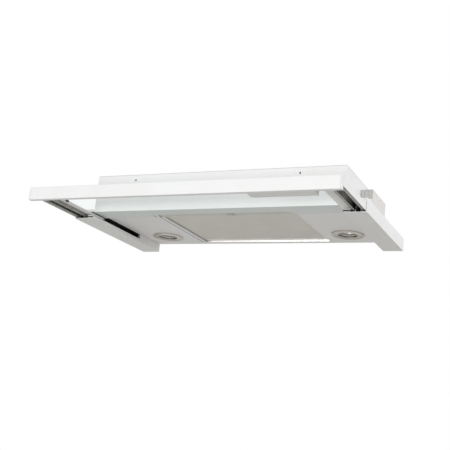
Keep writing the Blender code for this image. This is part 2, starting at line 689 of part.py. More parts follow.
def flap(name, towards, knuckle):
    """Half disc on the cross pin; it lifts to let air out and falls shut."""
    plate_z = (72.3, 73.4)
    near = 3.0
    start = math.degrees(math.asin(near / FLAP_R))
    half_disc = [(a, towards * b) for a, b in arc((0, 0), FLAP_R, start, 180 - start, 24)]
    bm = bmesh.new()
    add_prism(bm, [(OUTLET_X + a, OUTLET_Y + b) for a, b in half_disc], plate_z, "Z")
    plate = finish_object(name, bm, "dark_plastic")
    for side in (-1, 1):
        ends = span(knuckle[0], knuckle[1], side)
        bore = 1.8
        barrel = lathe("tool", None, [(bore, ends[0]), (2.6, ends[0]), (2.6, ends[1]),
                                      (bore, ends[1])],
                       (OUTLET_X, OUTLET_Y, FLAP_PIN_Z), 16, "X")
        join(plate, barrel)
        web = sorted((OUTLET_Y + towards * 1.95, OUTLET_Y + towards * (near + 1)))
        xs = (OUTLET_X + ends[0], OUTLET_X + ends[1])
        join(plate, box("tool", None, xs, web, (72.3, 73.4)))


# ---------------------------------------------------------------- wiring box
def terminal_box():
    inner = CASE_HALF_W + GAP
    wall = 2.0
    lid_at = BOX_OUT - wall
    outline = rounded_rectangle(BOX_Y, (GAP, BOX_TOP), 3)
    hollow = rounded_rectangle((BOX_Y[0] + wall, BOX_Y[1] - wall),
                               (GAP + wall, BOX_TOP - wall), 1.5, 2)
    base = prism("terminal_box", "white_plastic", outline, (inner, lid_at - GAP), "X")
    cut(base, prism("tool", None, hollow, (inner + wall, lid_at + OVER), "X"))
    cut(base, rod_tool((inner, WIRE_Y, WIRE_Z), WIRE_R, (-OVER, OVER), "X"))
    cut(base, rod_tool((CABLE_X, BOX_Y[1], CABLE_Z), 7.0, (-OVER, OVER), "Y", 20))
    prism("terminal_lid", "white_plastic", outline, (lid_at, BOX_OUT), "X")
    back = BOX_Y[1]
    inside = back - 5.0
    gland = [(4.5, inside), (6.7, inside), (6.7, back + GAP), (9.3, back + GAP),
             (9.3, back + 6), (7.2, back + 8), (6.4, back + 17), (4.5, back + 17)]
    lathe("cable_gland", "dark_plastic", gland, (CABLE_X, 0, CABLE_Z), 20, "Y")
    block = box("terminal_block", "dark_plastic", (262, 273), (100, 136), (4, 16))
    for i in range(3):
        cut(block, rod_tool((273, 106 + 12 * i, 10), 2.6, (-OVER, OVER), "X", 12))


def microswitch():
    """Switch in the right rail that feels when the drawer is home."""
    axis = (SWITCH_X, 0, SWITCH_Z)
    tip, tail = SWITCH_Y
    body = box("microswitch", "dark_plastic", (CASE_HALF_W + SHEET + 2 * GAP, SWITCH_X + 3.3),
               (tip + 6, tail + 12), (-22.8, -12.5))
    cut(body, rod_tool(axis, 1.9, (tip, tail + OVER), "Y"))
    lathe("switch_plunger", "white_plastic", rod_profile(1.5, tip, tail, 0.4), axis, 16, "Y")


# ---------------------------------------------------------------- assembly
def clear_scene():
    for obj in list(bpy.data.objects):
        bpy.data.objects.remove(obj, do_unlink=True)


def empty(name, location):
    """Guide that marks a joint's axis."""
    marker = bpy.data.objects.new(name, None)
    marker.location = Vector(location) * MM
    bpy.context.scene.collection.objects.link(marker)
    return marker


def hang(marker, *names):
    """Parent pieces to a joint's marker without moving them."""
    bpy.context.view_layer.update()
    for name in names:
        piece = bpy.data.objects[name]
        piece.parent = marker
        piece.matrix_parent_inverse = marker.matrix_world.inverted()


def joints():
    drawer = empty("drawer_axis", (0, DRAWER_FRONT, FLANGE_Z))
    hang(drawer, "front_bar", "bar_cap_left", "bar_cap_right", "drawer_side_left",
         "drawer_side_right", "slide_inner_left", "slide_inner_right", "glass_panel",
         "control_housing", "control_cover", "control_board", "bar_screw_left",
         "bar_screw_right", "flange_buffer", "speed_slider", "light_slider")
    cages = empty("cage_axis", (0, CAGE_FRONT, -13))
    hang(cages, "ball_cage_left", "ball_cage_right")
    hinge = empty("filter_axis", (0, HINGE_Y, HINGE_Z))
    hang(hinge, "filter_frame", "filter_mesh", "filter_latch")
    fan = empty("fan_axis", (FAN_X, FAN_Y, 40))
    hang(fan, "impeller", "motor_shaft")
    pin = empty("flap_axis", (OUTLET_X, OUTLET_Y, FLAP_PIN_Z))
    hang(pin, "flap_front", "flap_rear")
    plunger = empty("plunger_axis", (SWITCH_X, SWITCH_Y[0] + 6, SWITCH_Z))
    hang(plunger, "switch_plunger")


def main():
    clear_scene()
    casing()
    filter_well()
    rail_boxes()
    side_brackets()
    slides()
    rail_screws()
    front_bar()
    drawer_sides()
    flange_buffer()
    glass_panel()
    control_unit()
    grease_filter()
    lamps()
    blower()
    impeller()
    capacitor()
    outlet()
    terminal_box()
    microswitch()
    joints()


main()
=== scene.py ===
"""Looks of the slim pull-out cooker hood: materials, fine geometry, light and camera.

Everything is in metres in the CAD frame: +X right, +Y towards the wall, +Z up,
origin on the casing's front face, level with the cabinet's underside.
"""

import json
import math

import bmesh
import bpy
from mathutils import Matrix, Vector


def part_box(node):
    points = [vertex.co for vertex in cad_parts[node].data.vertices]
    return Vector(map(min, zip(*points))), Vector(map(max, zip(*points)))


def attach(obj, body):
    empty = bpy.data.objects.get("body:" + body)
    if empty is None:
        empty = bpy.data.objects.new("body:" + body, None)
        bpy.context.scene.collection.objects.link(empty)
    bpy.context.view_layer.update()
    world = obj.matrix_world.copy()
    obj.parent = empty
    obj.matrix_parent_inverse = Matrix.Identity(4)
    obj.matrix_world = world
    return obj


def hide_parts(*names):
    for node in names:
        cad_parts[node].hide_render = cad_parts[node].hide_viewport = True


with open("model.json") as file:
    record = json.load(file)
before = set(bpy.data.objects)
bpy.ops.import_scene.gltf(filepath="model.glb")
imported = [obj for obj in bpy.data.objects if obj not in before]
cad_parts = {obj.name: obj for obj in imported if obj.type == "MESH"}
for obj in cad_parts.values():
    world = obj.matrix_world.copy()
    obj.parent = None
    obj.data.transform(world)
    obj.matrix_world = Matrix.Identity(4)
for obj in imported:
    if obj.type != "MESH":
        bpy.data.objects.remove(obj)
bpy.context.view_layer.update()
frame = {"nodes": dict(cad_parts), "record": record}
NODES = frame["nodes"]

MM = 0.001
EDGE_ROUND = 0.25 * MM     # rounding of the CAD nodes' edges
WELD_REACH = 0.00001       # metres
OTHER_FINISH = {"slot_buffer_left": "buffer_rubber", "slot_buffer_right": "buffer_rubber"}
SIDES = (("left", -1), ("right", 1))


# ---------------------------------------------------------------- node helpers
class Shade:
    """A material's node tree with short calls for the nodes used here."""

    def __init__(self, name):
        self.material = bpy.data.materials.new(name)
        self.material.use_nodes = True
        self.tree = self.material.node_tree
        self.shader = self.tree.nodes["Principled BSDF"]
        self.output = self.tree.nodes["Material Output"]
        self.coords = self.tree.nodes.new("ShaderNodeTexCoord").outputs["Object"]

    def node(self, kind, **settings):
        made = self.tree.nodes.new("ShaderNode" + kind)
        for key, value in settings.items():
            setattr(made, key, value)
        return made

    def link(self, source, target):
        self.tree.links.new(source, target)

    def put(self, socket, value):
        """Set one of the shader's own sockets to a constant."""
        self.shader.inputs[socket].default_value = value

    def stretched(self, scale):
        """Object coordinates multiplied by a scale on each axis."""
        mapping = self.node("Mapping")
        mapping.inputs["Scale"].default_value = scale
        self.link(self.coords, mapping.inputs["Vector"])
        return mapping.outputs["Vector"]

    def noise(self, scale, detail=3.0, roughness=0.5, vector=None):
        made = self.node("TexNoise")
        made.inputs["Scale"].default_value = scale
        made.inputs["Detail"].default_value = detail
        made.inputs["Roughness"].default_value = roughness
        self.link(vector or self.coords, made.inputs["Vector"])
        return made.outputs["Fac"]

    def cells(self, scale, vector=None, feature="F1"):
        made = self.node("TexVoronoi", feature=feature)
        made.inputs["Scale"].default_value = scale
        self.link(vector or self.coords, made.inputs["Vector"])
        return made

    def math(self, operation, first, second=0.0):
        made = self.node("Math", operation=operation)
        for value, socket in zip((first, second), made.inputs):
            if isinstance(value, (int, float)):
                socket.default_value = value
            else:
                self.link(value, socket)
        return made.outputs["Value"]

    def range(self, value, low, high, from_low=0.0, from_high=1.0):
        made = self.node("MapRange")
        self.link(value, made.inputs["Value"])
        made.inputs["From Min"].default_value = from_low
        made.inputs["From Max"].default_value = from_high
        made.inputs["To Min"].default_value = low
        made.inputs["To Max"].default_value = high
        return made.outputs["Result"]

    def mix(self, factor, first, second):
        """Blend two colours, each a tuple or a socket."""
        made = self.node("Mix", data_type="RGBA")
        self.link(factor, made.inputs["Factor"])
        for value, socket in ((first, made.inputs[6]), (second, made.inputs[7])):
            if isinstance(value, tuple):
                socket.default_value = (*value, 1.0)
            else:
                self.link(value, socket)
        return made.outputs[2]

    def bump(self, height, distance, strength):
        made = self.node("Bump")
        made.inputs["Strength"].default_value = strength
        made.inputs["Distance"].default_value = distance
        self.link(height, made.inputs["Height"])
        self.link(made.outputs["Normal"], self.shader.inputs["Normal"])

    def edges(self, radius=0.0008):
        """Mask that is 1 on sharp edges, from the difference to a rounded normal."""
        rounded = self.node("Bevel", samples=4)
        rounded.inputs["Radius"].default_value = radius
        flat = self.node("NewGeometry")
        dot = self.node("VectorMath", operation="DOT_PRODUCT")
        self.link(rounded.outputs["Normal"], dot.inputs[0])
        self.link(flat.outputs["Normal"], dot.inputs[1])
        return self.range(dot.outputs["Value"], 1.0, 0.0, 0.80, 0.995)

    def colour(self, value):
        if isinstance(value, tuple):
            self.put("Base Color", (*value, 1.0))
        else:
            self.link(value, self.shader.inputs["Base Color"])

    def rough(self, value):
        if isinstance(value, (int, float)):
            self.put("Roughness", value)
        else:
            self.link(value, self.shader.inputs["Roughness"])


# ---------------------------------------------------------------- materials
def powder_coat(name, colour, warm, gloss):
    """White powder coat: fine orange peel, faint cloudiness, slightly greyer edges."""
    s = Shade(name)
    cloud = s.noise(9.0, 4.0, 0.55)
    speck = s.noise(420.0, 2.0)
    shaded = s.mix(s.range(cloud, 0.0, 1.0, 0.35, 0.70), colour, warm)
    grime = tuple(0.90 * c for c in warm)
    shaded = s.mix(s.range(speck, 0.0, 0.25, 0.60, 0.75), shaded, grime)
    worn = s.math("MULTIPLY", s.edges(), s.range(s.noise(160.0), 0.0, 0.30, 0.45, 0.75))
    s.colour(s.mix(worn, shaded, tuple(0.82 * c for c in warm)))
    s.rough(s.range(cloud, gloss, gloss + 0.10, 0.3, 0.7))
    peel = s.noise(900.0, 2.0)
    s.bump(peel, 0.00004, 0.5)
    s.put("Specular IOR Level", 0.45)
    return s.material


def zinc_steel(name, base, dark):
    """Galvanised strip: cold-rolled streaks, soft spangle and a few dull marks."""
    s = Shade(name)
    along_y = (900, 8, 900)
    streak = s.noise(1.0, 3.0, 0.6, s.stretched(along_y))
    spangle = s.cells(260.0).outputs["Distance"]
    cloud = s.noise(40.0, 3.0)
    tone = s.math("ADD", s.range(streak, 0.0, 0.6), s.range(spangle, 0.0, 0.4, 0.0, 0.6))
    tone = s.math("MULTIPLY", tone, s.range(cloud, 0.7, 1.2, 0.3, 0.7))
    s.colour(s.mix(s.range(tone, 0.0, 1.0, 0.2, 0.8), dark, base))
    s.rough(s.range(tone, 0.42, 0.26, 0.2, 0.9))
    s.put("Metallic", 1.0)
    s.bump(streak, 0.00003, 0.5)
    return s.material


def moulded_plastic(name, base, shadow, roughness):
    """Moulded plastic with spark-eroded texture, mould flow and rubbed edges."""
    s = Shade(name)
    flow = s.noise(30.0, 3.0, 0.6, s.stretched((1.0, 0.4, 1.6)))
    s.colour(s.mix(s.range(flow, 0.0, 0.6, 0.3, 0.75), base, shadow))
    edge = s.edges(0.0005)
    texture = s.noise(1500.0, 2.0)
    s.rough(s.math("SUBTRACT", s.range(texture, roughness, roughness + 0.12, 0.3, 0.7),
                   s.math("MULTIPLY", edge, 0.12)))
    s.bump(texture, 0.00005, 0.6)
    return s.material


def clear_glass(name, tint, ior, haze_roughness):
    """Clear glass that bends what is seen through it.

    It is plainly transparent to shadow, diffuse and glossy rays, so light passes
    it. A faint smear of wiped grease changes its roughness and its tint.
    """
    s = Shade(name)
    haze = s.noise(14.0, 3.0)
    smear = tuple(0.985 * c for c in tint)
    s.colour(s.mix(s.range(haze, 0.0, 1.0, 0.3, 0.7), tint, smear))
    s.rough(s.range(haze, 0.0, haze_roughness, 0.45, 0.75))
    s.put("IOR", ior)
    s.put("Transmission Weight", 1.0)
    passing = s.node("BsdfTransparent")
    passing.inputs["Color"].default_value = (*(math.sqrt(c) for c in tint), 1.0)
    path = s.node("LightPath")
    lit = s.math("MAXIMUM", path.outputs["Is Shadow Ray"], path.outputs["Is Diffuse Ray"])
    lit = s.math("MAXIMUM", lit, path.outputs["Is Glossy Ray"])
    both = s.node("MixShader")
    s.link(lit, both.inputs["Fac"])
    s.link(s.shader.outputs["BSDF"], both.inputs[1])
    s.link(passing.outputs["BSDF"], both.inputs[2])
    s.link(both.outputs["Shader"], s.output.inputs["Surface"])
    return s.material


def satin_metal(name, base, dark, roughness):
    """Turned or drawn metal: fine grain in its roughness and small dull patches."""
    s = Shade(name)
    grain = s.noise(700.0, 3.0, 0.6)
    patch = s.noise(60.0, 3.0)
    s.colour(s.mix(s.range(patch, 0.0, 1.0, 0.35, 0.7), base, dark))
    s.rough(s.range(grain, roughness, roughness + 0.14, 0.3, 0.7))
    s.put("Metallic", 1.0)
    s.bump(grain, 0.00002, 0.4)
    return s.material


def expanded_metal(name, base, dark):
    """Aluminium strands: dull mill finish with a faint film of grease."""
    s = Shade(name)
    film = s.noise(22.0, 4.0, 0.6)
    strand = s.noise(800.0, 2.0)
    s.colour(s.mix(s.range(film, 0.0, 1.0, 0.3, 0.75), base, dark))
    s.rough(s.range(strand, 0.38, 0.60, 0.3, 0.7))
    s.put("Metallic", 0.2)
    s.bump(strand, 0.00003, 0.5)
    return s.material


def frosted_glass(name):
    """Bulb capsule: opaque white frost, glossier in cloudy patches."""
    s = Shade(name)
    frost = s.noise(300.0, 3.0)
    s.colour(s.mix(s.range(frost, 0.0, 1.0, 0.3, 0.7), (0.93, 0.92, 0.88), (0.80, 0.79, 0.74)))
    s.rough(s.range(frost, 0.08, 0.30, 0.3, 0.7))
    s.bump(frost, 0.00002, 0.3)
    return s.material


def solder_mask(name):
    """Green board with paler tracks along cell borders."""
    s = Shade(name)
    lines = s.cells(300.0, s.stretched((1.0, 1.6, 1.0)), "DISTANCE_TO_EDGE").outputs["Distance"]
    track = s.range(lines, 1.0, 0.0, 0.02, 0.05)
    s.colour(s.mix(track, (0.02, 0.11, 0.05), (0.05, 0.22, 0.10)))
    s.rough(s.range(s.noise(500.0), 0.30, 0.45))
    s.bump(track, 0.00003, 0.6)
    return s.material


# Far below real glass, because the photographed sheet hardly reflects.
VISOR_IOR = 1.06
LENS_IOR = 1.1
WHITE = (0.88, 0.885, 0.885)
WHITE_WARM = (0.845, 0.845, 0.83)
MATERIALS = {
    "white_paint": powder_coat("white_paint", WHITE, WHITE_WARM, 0.34),
    "zinc_steel": zinc_steel("zinc_steel", (0.62, 0.62, 0.60), (0.36, 0.36, 0.35)),
    "motor_steel": moulded_plastic("motor_steel", (0.05, 0.05, 0.055), (0.02, 0.02, 0.02), 0.4),
    "filter_aluminium": expanded_metal("filter_aluminium", (0.92, 0.905, 0.875),
                                       (0.87, 0.85, 0.81)),
    "lamp_metal": satin_metal("lamp_metal", (0.70, 0.655, 0.59), (0.57, 0.535, 0.48), 0.22),
    "reflector": satin_metal("reflector", (0.97, 0.97, 0.95), (0.93, 0.93, 0.90), 0.14),
    "visor_glass": clear_glass("visor_glass", (0.955, 0.985, 0.98), VISOR_IOR, 0.02),
    "lamp_glass": clear_glass("lamp_glass", (0.98, 0.985, 0.98), LENS_IOR, 0.04),
    "white_plastic": moulded_plastic("white_plastic", (0.80, 0.775, 0.75),
                                     (0.74, 0.70, 0.67), 0.42),
    "bar_plastic": moulded_plastic("bar_plastic", (0.84, 0.84, 0.83), (0.80, 0.80, 0.785), 0.38),
    "grey_plastic": moulded_plastic("grey_plastic", (0.60, 0.60, 0.57),
                                    (0.52, 0.52, 0.49), 0.46),
    "dark_plastic": moulded_plastic("dark_plastic", (0.045, 0.045, 0.047),
                                    (0.025, 0.025, 0.026), 0.45),
    "circuit_board": solder_mask("circuit_board"),
    # painted shade: darker grey for the shaded front of the wiring box
    "vent_plastic_painted_shade": moulded_plastic("vent_plastic_painted_shade", (0.56, 0.545, 0.52),
                                    (0.51, 0.49, 0.47), 0.45),
    # painted shade: flat near-black for strips laid where only shadow falls, in the well's
    # groove, at the rail mouths, inside the rail boxes and beside the slides
    "painted_shade_dark": moulded_plastic("painted_shade_dark", (0.10, 0.095, 0.088), (0.07, 0.066, 0.06), 0.60),
    "buffer_rubber": moulded_plastic("buffer_rubber", (0.26, 0.26, 0.25), (0.20, 0.20, 0.19),
                                     0.55),
    # painted shade: flat grey for the shaded inner wall of the filter's well
    "painted_shade_grey": moulded_plastic("painted_shade_grey", (0.50, 0.48, 0.46), (0.44, 0.42, 0.40), 0.60),
    # painted highlight: near-white satin metal for the brightly lit rear lip of the filter's
    # well
    "lip_painted_highlight": satin_metal("lip_painted_highlight", (0.98, 0.965, 0.93), (0.93, 0.91, 0.88), 0.16),
    # painted shade: dark olive metal for the lamp's shaded inner tube
    "tube_painted_shade": satin_metal("tube_painted_shade", (0.20, 0.19, 0.14), (0.12, 0.115, 0.085), 0.30),
    "bulb": frosted_glass("bulb"),
}


def dress_nodes():
    """Give each CAD node its slot's material, welded and with softened edges."""
    for part in frame["record"]["subparts"]:
        obj = NODES[part["node"]]
        obj.data.materials.clear()
        finish = OTHER_FINISH.get(part["node"], part["material_slot"])
        obj.data.materials.append(MATERIALS[finish])
        weld = obj.modifiers.new("weld", "WELD")
        weld.merge_threshold = WELD_REACH
        bevel = obj.modifiers.new("soft_edges", "BEVEL")
        bevel.width = EDGE_ROUND
        bevel.segments = 2
        bevel.limit_method = "ANGLE"
        bevel.angle_limit = math.radians(50)


# ---------------------------------------------------------------- mesh pieces
def piece(name, bm, body, slot, finish=None):
    """Make an object in metres from a mesh in millimetres and let it ride a body."""
    bmesh.ops.recalc_face_normals(bm, faces=bm.faces)
    bmesh.ops.scale(bm, vec=(MM, MM, MM), verts=bm.verts)
    mesh = bpy.data.meshes.new(name)
    bm.to_mesh(mesh)
    bm.free()
    mesh.materials.append(MATERIALS[finish or slot])
    obj = bpy.data.objects.new(name, mesh)
    bpy.context.scene.collection.objects.link(obj)
    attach(obj, body)
    return obj


def block(bm, low, high, chamfer=0.2):
    """Box between two corners with chamfered edges."""
    middle = [(a + b) / 2 for a, b in zip(low, high)]
    size = [b - a for a, b in zip(low, high)]
    place = Matrix.Translation(middle) @ Matrix.Diagonal((*size, 1.0))
    made = bmesh.ops.create_cube(bm, size=1.0, matrix=place)
    edges = list({edge for vert in made["verts"] for edge in vert.link_edges})
    bmesh.ops.bevel(bm, geom=edges, offset=min(chamfer, min(size) * 0.45), segments=1,
                    affect="EDGES")


def prism(bm, outline, left, right):
    """Outline in Y and Z drawn out along X, with closed ends."""
    first = [bm.verts.new((left, y, z)) for y, z in outline]
    last = [bm.verts.new((right, y, z)) for y, z in outline]
    count = len(outline)
    for step in range(count):
        after = (step + 1) % count
        bm.faces.new((first[step], first[after], last[after], last[step]))
    bm.faces.new(first)
    bm.faces.new(last[::-1])


def lathe(bm, profile, centre, count, axis="Z", twist=0.0):
    """Turn a closed profile of (radius, height) points around Z or X.

    Every other ring is turned by a fraction of a sector, which facets the surface.
    """
    rings = []
    for order, (radius, height) in enumerate(profile):
        ring = []
        for step in range(count):
            angle = 2 * math.pi * (step + twist * (order % 2)) / count
            flat = (radius * math.cos(angle), radius * math.sin(angle), height)
            if axis == "X":
                flat = (flat[2], flat[0], flat[1])
            ring.append(bm.verts.new([c + f for c, f in zip(centre, flat)]))
        rings.append(ring)
    for ring, after in zip(rings, rings[1:] + rings[:1]):
        for step in range(count):
            nxt = (step + 1) % count
            bm.faces.new((ring[step], ring[nxt], after[nxt], after[step]))


def smooth(obj, angle=35):
    """Shade smooth except across edges sharper than the angle."""
    for face in obj.data.polygons:
        face.use_smooth = True
    obj.data.set_sharp_from_angle(angle=math.radians(angle))


def strand(bm, points, width, rise, thick):
    """Ribbon along a zigzag, tilted across its length, with closed ends."""
    across = ((-width / 2, 0.0), (width / 2, rise), (width / 2, rise + thick),
              (-width / 2, thick))
    rings = [[bm.verts.new((x, y + dy, z + dz)) for dy, dz in across] for x, y, z in points]
    for ring, after in zip(rings, rings[1:]):
        for side in range(4):
            other = (side + 1) % 4
            bm.faces.new((ring[side], ring[other], after[other], after[side]))
    bm.faces.new(rings[0])
    bm.faces.new(rings[-1][::-1])


def corners(node):
    """A node's lowest and highest corners in millimetres."""
    low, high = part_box(node)
    return [c / MM for c in low], [c / MM for c in high]


STRAND_STEP = 5.0      # half the length of a diamond, along X
STRAND_ROW = 3.0       # half the width of a diamond, along Y
STRAND_WIDTH = 1.1
STRAND_RISE = 0.35     # tilt of a strand across its width
STRAND_THICK = 0.32
STRAND_DROP = 0.72     # how far the strands hang below the mesh sheet
STRAND_MARGIN = 1.0


def filter_strands():
    """Expanded metal's outer layer: zigzag strands that join in diamonds."""
    low, high = corners("filter_mesh")
    columns = int((high[0] - low[0] - STRAND_MARGIN) / STRAND_STEP)
    rows = int((high[1] - low[1] - STRAND_MARGIN) / STRAND_ROW) - 1
    start_x = (low[0] + high[0] - columns * STRAND_STEP) / 2
    start_y = (low[1] + high[1] - (rows - 1) * STRAND_ROW) / 2
    bm = bmesh.new()
    for row in range(rows):
        points = []
        for column in range(columns + 1):
            side = STRAND_ROW / 2 * (-1) ** (row + column)
            points.append((start_x + column * STRAND_STEP, start_y + row * STRAND_ROW + side,
                           low[2] - STRAND_DROP))
        strand(bm, points, STRAND_WIDTH, STRAND_RISE, STRAND_THICK)
    piece("filter_strands", bm, "filter", "filter_aluminium")


GROOVE_X = (-142.0, -140.6)        # groove at the left of the well's flush strip
GROOVE_Y = (33.5, 262.5)
WELL_SHADE_X = (-131.98, -131.6)    # on the inside of the well's left wall
WELL_SHADE_Y = (34.0, 261.0)
WELL_SHADE_TOP = -3.2
REAR_LIP = ((261.48, -7.42), (261.48, -3.9), (260.75, -3.9), (261.4, -7.42))   # Y, Z
REAR_LIP_X = (-131.3, 149.3)


def well_trim():
    """Painted shade strips at the left of the filter's well, and a painted highlight on its rear
    lip.
    """
    bottom = corners("bottom_panel")[0][2]
    bm = bmesh.new()
    # painted shade: a near-black strip laid in the groove for the shadow inside it
    block(bm, (GROOVE_X[0], GROOVE_Y[0], bottom + 0.02),
          (GROOVE_X[1], GROOVE_Y[1], bottom + 0.9), 0.02)
    piece("groove_painted_shade", bm, "hood", "dark_plastic", "painted_shade_dark")
    bm = bmesh.new()
    # painted shade: a grey strip on the well's left wall for the shade on that wall
    block(bm, (WELL_SHADE_X[0], WELL_SHADE_Y[0], bottom + 0.15),
          (WELL_SHADE_X[1], WELL_SHADE_Y[1], WELL_SHADE_TOP), 0.05)
    piece("well_painted_shade", bm, "hood", "grey_plastic", "painted_shade_grey")
    bm = bmesh.new()
    # painted highlight: the lip is white paint, given a bright satin-metal finish so it reads as
    # the strongly lit wall
    prism(bm, REAR_LIP, *REAR_LIP_X)
    piece("rear_lip", bm, "hood", "white_paint", "lip_painted_highlight")


MOUTH_SHADE_X = (256.5, 269.6)           # distances from the centre line
SHADE_PAD_COUNT = 6
SHADE_PAD_STEP = 45.0
SHADE_PAD_LENGTH = 44.2
SHADE_PAD_START = 6.0                   # behind the rail box's front
SHADE_PAD_INSET = 1.4
SHADE_PAD_Z = (-1.5, -1.05)
SHADE_LINE_X = (272.0, 272.9)
SHADE_LINE_Y = (-141.5, 30.0)
SHADE_LINE_Z = (-21.3, -20.7)


def mouth_shade_strips():
    """Painted shade: dark strips under the drawer's flanges where they enter the rail boxes, for
    the shadow in those gaps.
    """
    for side, sign in SIDES:
        mouth = corners("rail_box_" + side)[0][1]
        flange = corners("drawer_side_" + side)[0][2]
        ends = sorted(sign * x for x in MOUTH_SHADE_X)
        bm = bmesh.new()
        block(bm, (ends[0], mouth - 0.35, flange - 0.9),
              (ends[1], mouth - 0.02, flange + 2.2), 0.1)
        piece("mouth_shade_strip_" + side, bm, "hood", "dark_plastic", "painted_shade_dark")


def rail_shade_pads():
    """Painted shade: dark pads under each rail box's roof for its shaded inside, and a dark line
    beside each moving slide for the shadow of its step.
    """
    for side, sign in SIDES:
        low, high = corners("rail_box_" + side)
        # painted shade: dark pads that darken the rail box's shaded inside
        bm = bmesh.new()
        for number in range(SHADE_PAD_COUNT):
            start = low[1] + SHADE_PAD_START + number * SHADE_PAD_STEP
            block(bm, (low[0] + SHADE_PAD_INSET, start, SHADE_PAD_Z[0]),
                  (high[0] - SHADE_PAD_INSET, start + SHADE_PAD_LENGTH, SHADE_PAD_Z[1]), 0.15)
        piece("rail_shade_pad_" + side, bm, "hood", "dark_plastic", "painted_shade_dark")
        # painted shadow: a dark line beside the moving slide for the shadow of its step
        ends = sorted(sign * x for x in SHADE_LINE_X)
        bm = bmesh.new()
        block(bm, (ends[0], SHADE_LINE_Y[0], SHADE_LINE_Z[0]), (ends[1], SHADE_LINE_Y[1], SHADE_LINE_Z[1]), 0.1)
        piece("slide_shade_line_" + side, bm, "drawer", "dark_plastic", "painted_shade_dark")


# Closed profiles of (radius, height) around a lamp's axis.
DISH_FACETS = 22
DISH_RIM = ((19.9, -0.6), (22.3, -0.6), (22.3, 0.3), (19.9, 0.3))
BULB = ((0.4, 3.2), (2.2, 3.6), (3.6, 4.8), (4.2, 6.6), (4.2, 11.0), (3.4, 12.6), (0.4, 12.8))
SOCKET = ((0.5, 12.9), (5.2, 12.9), (6.0, 13.6), (6.0, 15.6), (0.5, 15.6))
TUBE = ((19.2, -7.9), (19.5, -8.3), (19.5, -6.1), (19.2, -6.2))
SKIRT = ((19.2, -6.0), (18.5, -4.4), (19.0, -2.8), (19.4, -2.9), (19.4, -4.4), (19.4, -6.0))


def lamps():
    """Faceted dish and skirt, bulb with its socket, and the tube behind the lens, whose dark
    colour is painted shade.
    """
    for side, _ in SIDES:
        low, high = corners("lamp_reflector_" + side)
        centre = ((low[0] + high[0]) / 2, (low[1] + high[1]) / 2, 0.0)
        inner = [(19.6 - 0.62 * step ** 1.35, -0.4 + 1.9 * step) for step in range(8)]
        outer = [(radius + 0.9, height + 0.4) for radius, height in reversed(inner)]
        bm = bmesh.new()
        lathe(bm, inner + outer, centre, DISH_FACETS, twist=0.5)
        lathe(bm, DISH_RIM, centre, 2 * DISH_FACETS)
        dish = piece("lamp_dish_" + side, bm, "hood", "reflector")
        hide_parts("lamp_reflector_" + side)
        bm = bmesh.new()
        lathe(bm, BULB, centre, 24)
        smooth(piece("lamp_bulb_" + side, bm, "hood", "lamp_glass", "bulb"), 60)
        bm = bmesh.new()
        lathe(bm, SOCKET, centre, 24)
        smooth(piece("lamp_socket_" + side, bm, "hood", "white_plastic"))
        bm = bmesh.new()
        lathe(bm, TUBE, centre, 64)
        smooth(piece("lamp_tube_" + side, bm, "hood", "lamp_metal", "tube_painted_shade"))
        bm = bmesh.new()
        lathe(bm, SKIRT, centre, DISH_FACETS, twist=0.5)
        piece("lamp_skirt_" + side, bm, "hood", "reflector")


RIBS = ((1.6, 5.2), (8.4, 5.2), (15.2, 4.6))                   # offset and width, along X
LID_SCREWS = ((98.5, 41.5), (181.5, 41.5), (140.0, 41.5))      # Y, Z
LID_SCREW_R = 2.6


def terminal_ribs():
    """Plate with broad ribs on the wiring box's front, darker grey as painted shade on that
    front, and its lid screws.
    """
    low, high = corners("terminal_box")
    lid_high = corners("terminal_lid")[1]
    front = low[1] - 0.02
    bm = bmesh.new()
    block(bm, (low[0] + 0.15, front - 0.5, low[2] + 0.3),
          (lid_high[0] - 0.15, front, high[2] - 0.15), 0.15)
    for left, width in RIBS:
        block(bm, (low[0] + left, front - 1.3, low[2] + 2.0),
              (low[0] + left + width, front - 0.45, high[2] - 1.8), 0.35)
    piece("terminal_ribs", bm, "hood", "white_plastic", "vent_plastic_painted_shade")
    for number, (y, z) in enumerate(LID_SCREWS):
        screw("lid_screw_%d" % number, (lid_high[0], y, z), "X", LID_SCREW_R, "white_plastic")


RECESS_REACH = 1.2     # half the height of the tool that cuts a screw's recess
RECESS_LIFT = 1.3      # its middle, above the screw's seat


